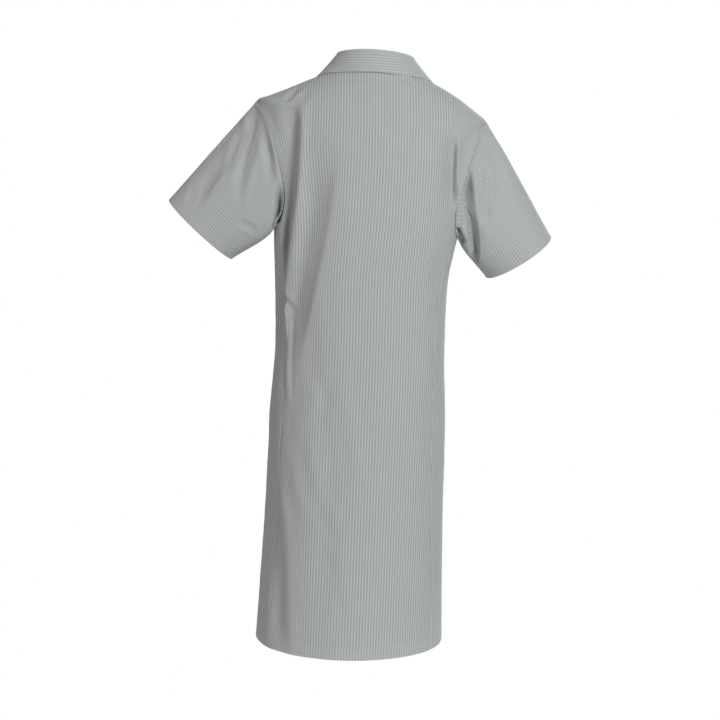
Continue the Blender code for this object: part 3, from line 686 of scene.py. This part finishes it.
# Smaller creases and falls: facing, route as (x, z), depth, width, side it falls to or 0.
sleeveCreases = {
    "left": [
        (1, [(190, -66), (208, -112), (221, -161), (229, -200)], 5.4, 6.2, 1),
        (1, [(212, -90), (232, -145), (247, -192)], 6.5, 6.4, 1),
        (1, [(238, -140), (253, -167), (276, -202), (288, -224), (297, -254)], 4.2, 8, 1),
        (1, [(324, -238), (318, -215), (313, -196)], 1.4, 6, 0),
        (1, [(238, -258), (222, -268), (203, -277)], 1.6, 6, 0),
        (1, [(194, -110), (184, -144), (181, -176), (178, -206)], 3, 7, 0),
        (-1, [(205, -90), (222, -122), (238, -160), (246, -196)], 3, 10, 0),
        (-1, [(190, -130), (200, -165), (205, -205)], 2.8, 8, 0),
        (-1, [(262, -150), (282, -185), (292, -222)], 1.6, 8, 0),
    ],
    "right": [
        (1, [(-195, -118), (-207, -160), (-218, -194), (-227, -218), (-241, -254)], 1.6, 9, 0),
        (1, [(-183, -152), (-191, -190), (-190, -235), (-186, -285)], 3.4, 6, 0),
        (1, [(-172, -195), (-177, -240), (-179, -285), (-185, -328)], 2.2, 6, 0),
        (1, [(-136, -270), (-144, -286), (-154, -302)], 15, 5.8, 0),
        (-1, [(-190, -130), (-202, -170), (-206, -215), (-200, -260)], 3, 10, 0),
        (-1, [(-172, -175), (-176, -215), (-180, -260)], 2.6, 8, 0),
        (-1, [(-222, -190), (-238, -235), (-246, -280)], 1.4, 9, 0),
    ],
}
cuffSteps = hemSteps[:-1] * sleeveCloth["cuffScale"]


def armhole(turn):  # 0 is the underarm, 90 its back, 180 the shoulder tip
    share = (1 - np.cos(np.radians(turn))) / 2
    height = body["armpit"] + (body["tip"] - body["armpit"]) * share
    side = np.sin(np.radians(turn))
    bite = np.where(side > 0, body["backBite"], body["frontBite"]) * side
    return height, smooth(height, rings["backZ"], rings["seamAngle"]) - bite


def sleeveAxes(sleeve):  # towards its upper edge and its back
    side, rise, forward = sleeve["side"], math.radians(sleeve["rise"]), math.radians(sleeve["forward"])
    upper = np.array([side * math.cos(rise), 0, math.sin(rise)])
    outward = np.array([side * math.sin(rise), 0, -math.cos(rise)])
    return upper, math.cos(forward) * np.array([0, 1, 0]) + math.sin(forward) * outward


def sleeveInward(name, plain, share, fromSeam, fromCuff, turn, tuck, crown, seed):
    # Folds, creases, soft waves and seams of a sleeve: how far each point goes in.
    cloth, cos, sin = sleeveCloth, np.cos(np.radians(turn)), np.sin(np.radians(turn))
    inward, drop = np.zeros_like(share), (1 + cos) / 2
    for foldStart, foldEnd, dropStart, dropEnd, depth, width, side in sleeveFolds[name]:
        along = (share - foldStart) / (foldEnd - foldStart)
        distance = drop - dropStart - (dropEnd - dropStart) * along
        distance = distance * 2 * sleeves[name]["halfHeight"] / (width / 1000)
        fade = step(share * cloth["foldStart"]) * step(sin * cloth["foldTurn"])
        shape = fallAway(side * distance) if side else trough(distance)
        inward += depth / 1000 * fade * fadeEnds(along, cloth["foldEnds"]) * shape
    facing = step(np.abs(sin) * cloth["creaseTurn"]) * step(fromSeam / cloth["creaseStart"])
    for way, route, depth, width, side in sleeveCreases[name]:
        mask = (sin * way > 0) * facing
        inward += creaseDepth(plain[..., 0], plain[..., 2], route, depth, width, side) * mask
    around = turn / 360 * cloth["girth"]
    (waveWidth, waveLength), (rumpleWidth, rumpleLength) = cloth["waveSize"], cloth["rumpleSize"]
    waves = cloth["wave"] * softNoise(around / waveWidth, fromCuff / waveLength, seed)
    rumples = drape["rumple"] * softNoise(around / rumpleWidth, fromCuff / rumpleLength, seed + 3)
    inward += step(fromSeam / cloth["waveStart"]) * (waves + rumples)
    underarm = np.minimum(turn, 360 - turn) / 360 * cloth["girth"] * np.ones_like(share)
    inward += drape["tuck"] * tuck * dip(fromSeam, drape["tuckWidth"])
    inward += drape["sleeveTuck"] * tuck * dip(fromSeam - drape["sleeveTuckAt"], drape["sleeveTuckWidth"])
    inward -= crown * dip(fromSeam, drape["sleeveCrown"])
    inward += sewn["seamDip"] * (dip(fromSeam, sewn["seamWidth"]) + dip(underarm, sewn["seamWidth"]))
    inward -= cloth["seamSwell"] * dip(fromSeam - cloth["swellAt"], cloth["swellWidth"])
    cuffLine = sewn["hemStitch"] * cloth["cuffScale"]
    return inward + cloth["cuffPull"] * dip(fromCuff - cuffLine, cloth["cuffPullWidth"])


def sleeveGrid(name, seed):
    sleeve, cloth = sleeves[name], sleeveCloth
    side, (upper, rearward) = sleeve["side"], sleeveAxes(sleeve)
    turn = np.linspace(cloth["seamTurn"], 360 - cloth["seamTurn"], cloth["columns"] + 1)
    height, angle = armhole(turn)
    angle = side * angle
    bare, (behind, facing) = bareForm(height, angle), sideways(angle)
    tuck, crown = seamTuck(height, angle)
    setIn = longFoldDepth(bare, behind) * facing + cloth["gap"]
    start = bare - formNormal(height, angle) * setIn[:, None]
    start[:, 1] -= straightFoldDepth(bare, behind)
    cos, sin = np.cos(np.radians(turn))[:, None], np.sin(np.radians(turn))[:, None]
    cuff = sleeve["cuff"] - cos * sleeve["halfHeight"] * upper + sin * sleeve["halfDepth"] * rearward
    length = np.linalg.norm(cuff - start, axis=1)
    seamSteps = edgeSteps[:cloth["seamRows"]]
    share = np.concatenate([
        seamSteps[:-1, None] / length,
        np.linspace(seamSteps[-1] / length, 1 - cloth["cuffRows"] / length, cloth["rows"]),
        1 - cuffSteps[:, None] / length,
        np.ones((1, len(turn))),
    ])
    fromSeam, fromCuff = share * length, (1 - share) * length
    plain = start + (cuff - start) * share[..., None]
    inward = sleeveInward(name, plain, share, fromSeam, fromCuff, turn, tuck, crown, seed)
    rounding, wall, doubled = turnedEdge(fromCuff, cloth["cuffDepth"])
    out = unit(-cos * upper + sin * np.array([0, 1, 0]))
    swell = np.where(cos[:, 0] < 0, sleeve["cap"], sleeve["sag"]) * np.abs(cos[:, 0])
    rounder = plain + out * (4 * share * (1 - share) ** 2 * swell)[..., None]
    outer = rounder - side * gridNormals(rounder) * (inward + rounding)[..., None]
    # metres along and across the sleeve's own length
    axis = unit(np.array(sleeve["cuff"]) - start.mean(axis=0))
    run = np.diff(outer, axis=1)
    flat = np.sqrt(np.maximum((run**2).sum(2) - (run @ axis) ** 2, 0))
    across = np.concatenate([np.zeros((len(outer), 1)), np.cumsum(flat, axis=1)], axis=1)
    across = across - across[:, [cloth["columns"] // 2]]
    uv = np.stack([across, -(outer @ axis)], axis=-1)
    if side < 0:
        outer, uv, wall, doubled = (grid[:, ::-1] for grid in (outer, uv, wall, doubled))
    return outer, outer - gridNormals(outer) * wall[..., None], uv, doubled


def makeSleeve(name, seed):
    outer, inner, uv, doubled = sleeveGrid(name, seed)
    backing = np.maximum(doubled * poplin["hemShare"], poplin["sleeveShare"])
    piece = clothShell(name + "Sleeve", outer, inner, uv, backing)
    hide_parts(sleeves[name]["node"])
    return piece, outer


leftSleeve, leftSleeveGrid = makeSleeve("left", 61)
rightSleeve, rightSleeveGrid = makeSleeve("right", 83)


collar = {
    "end": 176,  # degrees from the centre back to each end
    "setback": 0.0010, "foldRadius": 0.003, "fallCurve": 1.15, "wall": 0.0014,
    # places near its ends, in degrees, and near its free edge, in shares of the fall
    "endSteps": [0, 0.02, 0.1, 0.25, 0.5, 0.8, 1.2], "fallSteps": [0.955, 0.97, 0.98, 0.99, 0.996, 0.999, 1],
    "liftFrom": 30, "liftOver": 12,  # degrees before the centre front where its left end steps up
    "columns": 200, "standRows": 10, "foldRows": 9, "fallRows": 24,
    # from the centre back to the front end: stand, lean out, reach of the fall, swing back, off the body
    "angle": [0, 50, 90, 130, 176],
    "stand": [0.0275, 0.0275, 0.0270, 0.0200, 0.0085], "leanOut": [-0.0070, -0.0070, -0.0060, -0.0030, 0],
    "fall": [0.0125, 0.0160, 0.0245, 0.0370, 0.0560],
    "swing": [0, 0, 0, 5, 24], "standOff": [0.0028, 0.0016, 0.0012, 0.0013, 0.0016],
}


def collarGround(height, angle):
    left = body["overlapLift"] * step((angle - 180 + collar["liftFrom"]) / collar["liftOver"])
    lift = np.where(angle < 0, overlapRise(height, 360 + angle), left)
    return bareForm(height, angle) + formNormal(height, angle) * lift[..., None]


def collarGrid():
    endSteps, end = np.array(collar["endSteps"]), collar["end"]
    middle = np.linspace(-end + endSteps[-1], end - endSteps[-1], collar["columns"])
    angle = np.concatenate([-end + endSteps, middle[1:-1], end - endSteps[::-1]])
    keys = np.array(collar["angle"], float)
    at = {name: smooth(np.abs(angle), keys, np.array(collar[name], float))
          for name in ("stand", "leanOut", "fall", "swing", "standOff")}
    neck = np.full_like(angle, body["neck"])
    base = collarGround(neck, angle)
    up = np.array([0.0, 0.0, 1.0])
    radial = unit(np.cross(up, bareForm(neck, angle + 0.5) - bareForm(neck, angle - 0.5)))
    top = base + radial * at["leanOut"][:, None] + up * at["stand"][:, None]
    radius = collar["foldRadius"]
    centre = top + radius * (radial - up)
    foot = base + collar["setback"] * unit(base - collarGround(neck - 0.001, angle))
    rows = []
    for share in np.linspace(0, 1, collar["standRows"] + 1)[:-1]:
        rows.append(foot + (centre - radius * radial - foot) * share)
    for turn in np.linspace(math.pi, 0, collar["foldRows"] + 1):
        rows.append(centre + radius * (math.cos(turn) * radial + math.sin(turn) * up))
    carried = rows[-1] - base
    for share in [*np.linspace(0, 0.94, collar["fallRows"])[1:], *collar["fallSteps"]]:
        height = -share * at["fall"]
        moved = angle - np.sign(angle) * share * at["swing"]
        clear = share * at["standOff"][:, None] * formNormal(height, moved)
        rows.append(collarGround(height, moved) + (1 - share) ** collar["fallCurve"] * carried + clear)
    return np.array(rows)


collarPoints = collarGrid()
collarNormals = gridNormals(collarPoints)
fromFoot = arcFrom(collarPoints.swapaxes(0, 1), 0).T
alongEnds = arcFrom(collarPoints, 0)
toEdge = np.minimum(fromFoot[-1:] - fromFoot, np.minimum(alongEnds, alongEnds[:, -1:] - alongEnds))
half = collar["wall"] / 2
plump = collarNormals * half * np.sqrt(1 - np.clip(1 - toEdge / half, 0, 1) ** 2)[..., None]
middleFace = collarPoints - collarNormals * half
foldRow = collar["standRows"] + collar["foldRows"] // 2
collarUv = np.stack([fromFoot - fromFoot[[foldRow]], alongEnds], axis=-1)
collarPiece = clothShell("collarPiece", middleFace + plump, middleFace - plump, collarUv,
                         np.ones_like(toEdge))
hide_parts("collar")


sewing = {
    "pitch": 0.0030, "length": 0.0023, "radius": 0.00017, "sides": 6,  # one lockstitch
    "lift": 0.00006,  # how far a stitch's middle stands out of the cloth
    "sink": 1.6,  # how far its ends go in, in thread radii
    # along a stitch from its middle, and how much of its radius is left there
    "taper": [(-1, 0.25), (-0.8, 0.75), (-0.35, 1), (0.35, 1), (0.8, 0.75), (1, 0.25)],
    "collarLine": 0.0055, "frontLine": 0.0058,  # distances from the edges
}


def ringTurns(sides):
    return np.linspace(0, math.tau, sides + 1)[:-1]


def rollFaces(count, sides, first=0):  # a closed roll over rings of points that turn anticlockwise
    faces = []
    last = first + (count - 1) * sides
    for start in range(first, last, sides):
        for a, b in zip(range(sides), [*range(1, sides), 0]):
            faces.append((start + a, start + b, start + b + sides, start + a + sides))
    return [*faces, tuple(range(first, first + sides))[::-1], tuple(range(last, last + sides))]


def polyline(points):  # a sampler of places along a line of points
    chord = lengthsAlong(points)
    return chord, lambda values, at: np.stack([np.interp(at, chord, values[:, i]) for i in range(3)], axis=1)


def threadMesh(name, points, faces):
    mesh = bpy.data.meshes.new(name)
    mesh.from_pydata(points, [], faces)
    mesh.shade_smooth()
    mesh.materials.append(threadMaterial)
    return mesh


def threadGrain():  # one stitch: a short tapered roll along x, its ends sunk
    turns = ringTurns(sewing["sides"])
    rows = []
    for share, thick in sewing["taper"]:
        radius, sink = thick * sewing["radius"], sewing["sink"] * sewing["radius"] * share**2
        x, y = np.full(sewing["sides"], share * sewing["length"] / 2), radius * np.cos(turns)
        rows.append(np.stack([x, y, radius * np.sin(turns) - sink + sewing["lift"]], axis=1))
    return np.concatenate(rows), rollFaces(len(rows), sewing["sides"])


grainPoints, grainFaces = threadGrain()


def stitches(name, places, along, outward, stretch=None):
    along, outward = unit(along), unit(outward)
    across = np.cross(outward, along)
    outward = np.cross(along, across)
    stretch = np.ones(len(places)) if stretch is None else stretch
    local = np.broadcast_to(grainPoints, (len(places), *grainPoints.shape))
    x, y, z = (local[..., [axis]] for axis in range(3))
    x = x * stretch[:, None, None]
    points = places[:, None] + x * along[:, None] + y * across[:, None] + z * outward[:, None]
    faces = [tuple(i + first for i in face) for first in range(0, local.size // 3, len(grainPoints))
             for face in grainFaces]
    print(name, len(places), "stitches")
    return newPiece(name, threadMesh(name, points.reshape(-1, 3).tolist(), faces))


def stitchLine(name, line, normals):
    chord, sampled = polyline(line)
    at, reach = np.arange(sewing["pitch"] / 2, chord[-1], sewing["pitch"]), 0.0008
    ahead, behind = (sampled(line, np.clip(at + way * reach, 0, chord[-1])) for way in (1, -1))
    return stitches(name, sampled(line, at), ahead - behind, sampled(normals, at))


hemRow = nearest(heights - body["hem"], sewn["hemStitch"])
armholeRows = slice(nearest(heights, body["tip"]), nearest(heights, body["armpit"]) + 1)
seamColumn = nearest(edgeSteps, sewn["topstitch"])
cuffRow = nearest(cuffSteps, sewn["hemStitch"] * sleeveCloth["cuffScale"]) - len(cuffSteps) - 1
for name, grid, columns, edge in (
        ("back", backGrid, (seamColumn, -1 - seamColumn), None),
        ("leftFront", leftGrid, (seamColumn,), None),
        ("rightFront", rightGrid, (-1 - seamColumn,), nearest(edgeSteps, sewing["frontLine"]))):
    normals = gridNormals(grid)
    stitchLine(name + "HemStitches", grid[hemRow], normals[hemRow])
    for number, column in enumerate(columns):
        stitchLine(f"{name}ArmholeStitches{number}", grid[armholeRows, column], normals[armholeRows, column])
    if edge is not None:
        stitchLine(name + "EdgeStitches", grid[:, edge], normals[:, edge])
for name, grid in (("left", leftSleeveGrid), ("right", rightSleeveGrid)):
    stitchLine(name + "CuffStitches", grid[cuffRow], gridNormals(grid)[cuffRow])


def collarOutline():  # along one end, the free edge and the other end, at one distance inside
    values = np.concatenate([middleFace + plump, collarNormals], axis=-1)
    inset, clearRows = sewing["collarLine"], 6  # the line starts this many rows from the fold
    fromEdge, fromRight = fromFoot[-1:] - fromFoot, alongEnds[:, -1:] - alongEnds
    line = []

    def addPoint(along, distances):
        order = np.argsort(distances)
        line.append([np.interp(inset, distances[order], along[order, i]) for i in range(6)])

    rows = range(foldRow + clearRows, len(values))
    for row in rows:
        if fromEdge[row, 0] > inset:
            addPoint(values[row], alongEnds[row])
    for column in range(values.shape[1]):
        if min(alongEnds[-1, column], fromRight[-1, column]) > inset:
            addPoint(values[foldRow:, column], fromEdge[foldRow:, column])
    for row in reversed(rows):
        if fromEdge[row, -1] > inset:
            addPoint(values[row], fromRight[row])
    line = np.array(line)
    return line[:, :3], line[:, 3:]


stitchLine("collarStitches", *collarOutline())


button = {
    "count": 7, "top": -0.062, "step": 0.108,  # the first one's height, and how far down the next lies
    "gap": 0.0002,  # off the cloth
    "radius": 0.0075, "thickness": 0.0028, "rim": 0.0014, "dish": 0.0009,
    "turns": 56, "sharp": 35,  # steps round it, and from how many degrees an edge stays sharp
    "holes": 4, "holeRadius": 0.0009, "holeOut": 0.0017, "holeSides": 24, "drill": (-0.001, 0.005),
    # the thread through its holes: strands spread in thread radii, that bow up and dive in at both ends
    "threadRadius": 0.00019, "threadSides": 7, "strands": 4, "spread": 1.7, "strandPoints": 13,
    "bow": 0.00030, "bowMore": 0.00012, "pastHole": 0.00015, "dive": 0.0013, "diveFrom": 0.82,
}
buttonhole = {
    "length": 0.0185, "halfWidth": 0.0008, "density": 0.00042, "bar": 0.0010,
    "sideStitch": 0.55, "barStitch": 1.3,  # their lengths, in lockstitches
}


def drillHoles():  # what is cut away for the thread
    points, faces = [], []
    sides = button["holeSides"]
    for number in range(button["holes"]):
        angle = math.radians(45 + 360 / button["holes"] * number)
        x, y = (button["holeOut"] * f(angle) for f in (math.cos, math.sin))
        faces += rollFaces(2, sides, len(points))
        points += [(x + button["holeRadius"] * math.cos(turn), y + button["holeRadius"] * math.sin(turn), z)
                   for z in button["drill"] for turn in ringTurns(sides)]
    mesh = bpy.data.meshes.new("holes")
    mesh.from_pydata(points, [], faces)
    return newObject("buttonHoleCutter", mesh)


def turnedButton():
    r, t, inside = button["radius"], button["thickness"], button["radius"] - button["rim"]
    floor = t - button["dish"]
    # from the middle of the dish over the rim to the middle of the back
    profile = [(0, floor), (inside - 0.0016, floor), (inside - 0.0009, floor + 0.0001),
               (inside - 0.0003, t - 0.0003), (inside + 0.0001, t - 0.00005), (r - button["rim"] / 2, t),
               (r - 0.0005, t - 0.0001), (r - 0.00015, t - 0.0004), (r, t * 0.58), (r - 0.0002, t * 0.42),
               (r - 0.0012, 0.0002), (r - 0.0016, 0), (0, 0)]
    mesh = bpy.data.meshes.new("buttonProfile")
    mesh.from_pydata([(x, 0, z) for x, z in profile], [(i, i + 1) for i in range(len(profile) - 1)], [])
    disc, holes = newObject("buttonBlank", mesh), drillHoles()
    screw = disc.modifiers.new("turned", "SCREW")
    screw.steps = screw.render_steps = button["turns"]
    screw.use_merge_vertices = True
    screw.merge_threshold = 0.00001
    cut = disc.modifiers.new("holes", "BOOLEAN")
    cut.object, cut.operation, cut.solver = holes, "DIFFERENCE", "EXACT"
    bpy.context.view_layer.update()
    made = bpy.data.meshes.new_from_object(disc.evaluated_get(bpy.context.evaluated_depsgraph_get()))
    made.name = "fourHoleButton"
    bpy.data.objects.remove(disc)
    bpy.data.objects.remove(holes)
    made.materials.clear()
    made.materials.append(buttonMaterial)
    made.shade_smooth()
    made.set_sharp_from_angle(angle=math.radians(button["sharp"]))
    return made


def tube(path, radius, sides):  # the rings of a round thread along a path, turning anticlockwise
    ahead = unit(np.gradient(path, axis=0))
    across = unit(np.cross(ahead, np.array([0.1, 0.2, 1.0])))
    up = np.cross(across, ahead)
    turns = -ringTurns(sides)[None, :, None]
    return path[:, None] + radius * (np.cos(turns) * across[:, None] + np.sin(turns) * up[:, None])


def buttonThread():  # two bars of thread through the four holes
    out, floor = button["holeOut"] * math.sqrt(0.5), button["thickness"] - button["dish"]
    shares = np.linspace(-1, 1, button["strandPoints"])
    diving = button["dive"] * np.maximum(0, np.abs(shares) - button["diveFrom"]) / (1 - button["diveFrom"])
    points, faces = [], []
    for way in (-1, 1):
        for strand in range(button["strands"]):
            offset = (strand - (button["strands"] - 1) / 2) * button["spread"] * button["threadRadius"]
            bow = button["bow"] + button["bowMore"] * (strand * 5 % 3)
            across = way * out + offset * (1 - 0.5 * np.abs(shares) ** 3)
            rise = floor + bow * (1 - shares**4) - diving
            path = np.stack([across, shares * (out + button["pastHole"]), rise], axis=1)
            faces += rollFaces(len(path), button["threadSides"], len(points))
            points += tube(path, button["threadRadius"], button["threadSides"]).reshape(-1, 3).tolist()
    return threadMesh("buttonThread", points, faces)


def buttonSeat(height):  # where its back rests on the right front, and its turn
    near = bareForm(height, 180.0)
    outward = unit(formNormal(height, 180.0))
    reach = ((rightGrid - near) * outward).sum(axis=2)
    beside = np.linalg.norm(rightGrid - near - reach[..., None] * outward, axis=2)
    seat = reach[beside < button["radius"] - 0.001].max() + button["gap"]
    tilt = math.atan2(math.hypot(outward[0], outward[1]), outward[2])
    return near + outward * seat, (tilt, 0, math.atan2(outward[1], outward[0]) + math.pi / 2)


def workButtonhole(number, height):  # close stitches down both sides and a bar at each end
    near = bareForm(height, 180.0)
    row, column = np.unravel_index(np.linalg.norm(rightGrid - near, axis=2).argmin(), rightGrid.shape[:2])
    chord, sampled = polyline(rightGrid[:, column])
    at = np.arange(-buttonhole["length"] / 2, buttonhole["length"] / 2, buttonhole["density"])
    places = sampled(rightGrid[:, column], chord[row] + at)
    normals = unit(sampled(rightNormals[:, column], chord[row] + at))
    side = np.cross(normals, unit(np.gradient(places, axis=0)))
    ends = np.abs(at) > buttonhole["length"] / 2 - buttonhole["bar"]
    both = [places + way * side * buttonhole["halfWidth"] for way in (-1, 1)]
    stretch = [buttonhole["sideStitch"]] * 2 * len(places) + [buttonhole["barStitch"]] * int(ends.sum())
    along, outward = (np.concatenate([way, way, way[ends]]) for way in (side, normals))
    stitches(f"buttonhole{number}", np.concatenate([*both, places[ends]]), along, outward, np.array(stretch))


buttonMesh, buttonThreadMesh = turnedButton(), buttonThread()
rightNormals = gridNormals(rightGrid)
for number in range(1, button["count"] + 1):
    height = button["top"] - button["step"] * (number - 1)
    place, turn = buttonSeat(height)
    disc = newPiece(f"coatButton{number}", buttonMesh, place, turn)
    newPiece(f"buttonThread{number}", buttonThreadMesh, place, turn)
    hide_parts(f"button_{number}")
    workButtonhole(number, height)
print("buttons sewn on")


studio = {
    "floorZ": -1.45, "floorRadius": 0.76, "floorGlow": 0.42,
    "surroundSeen": 1.0, "surroundLight": 0.28,  # white where it is seen, dimmer as a light
    "target": (0.02, 0.0, -0.45),
    # each softbox: place, width, height, watts, colour
    "softboxes": {
        "keyLight": ((-1.65, 2.9, 0.8), 1.1, 1.6, 83, (0.985, 0.99, 1.0)),
        "fillLight": ((2.2, 2.3, 0.1), 1.5, 1.5, 16.5, (1.0, 0.86, 0.75)),
        "frontLight": ((-1.5, -2.8, 0.9), 1.5, 1.5, 72, (1.0, 0.99, 0.98)),
    },
    "lens": 65, "sensor": 36, "camera": (0.027, 2.2835, -0.3087), "cameraDown": 4.8785,
}


def makeFloor():
    bpy.ops.mesh.primitive_circle_add(vertices=96, radius=studio["floorRadius"], fill_type="NGON",
                                      location=(0, 0, studio["floorZ"]))
    floor = bpy.context.object
    floor.name = "floor"
    material = newMaterial("paintedFloor", {  # matt white studio paint
        "Base Color": linear("#F4F4F3"), "Roughness": 0.9,
        "Emission Color": (1, 1, 1, 1), "Emission Strength": studio["floorGlow"]})[0]
    floor.data.materials.append(material)


def softbox(name, place, width, height, watts, colour):
    data = bpy.data.lights.new(name, "AREA")
    data.shape, data.size, data.size_y = "RECTANGLE", width, height
    data.energy, data.color = watts, colour
    light = newObject(name, data)
    light.location = place
    light.rotation_euler = (Vector(studio["target"]) - Vector(place)).to_track_quat("-Z", "Y").to_euler()


def whiteSurround():
    world = bpy.data.worlds.new("surround")
    bpy.context.scene.world = world
    world.use_nodes = True
    tree = world.node_tree
    tree.nodes.clear()
    seen = addNode(tree, "ShaderNodeBackground", {"Color": (1, 1, 1, 1), "Strength": studio["surroundSeen"]})
    cast = addNode(tree, "ShaderNodeBackground",
                   {"Color": (0.96, 0.98, 1, 1), "Strength": studio["surroundLight"]})
    ray = addNode(tree, "ShaderNodeLightPath")
    mix = addNode(tree, "ShaderNodeMixShader", {},
                  {0: ray.outputs["Is Camera Ray"], 1: cast.outputs[0], 2: seen.outputs[0]})
    addNode(tree, "ShaderNodeOutputWorld", {}, {0: mix.outputs[0]})


makeFloor()
for name, settings in studio["softboxes"].items():
    softbox(name, *settings)
whiteSurround()
bpy.context.scene.view_settings.view_transform = "Standard"

cameraData = bpy.data.cameras.new("photoCamera")
cameraData.lens, cameraData.sensor_width = studio["lens"], studio["sensor"]
camera = newObject("photoCamera", cameraData)
camera.location = studio["camera"]
camera.rotation_euler = (math.radians(90 - studio["cameraDown"]), 0, math.radians(180))
bpy.context.scene.camera = camera
print("stage, lights and camera set")
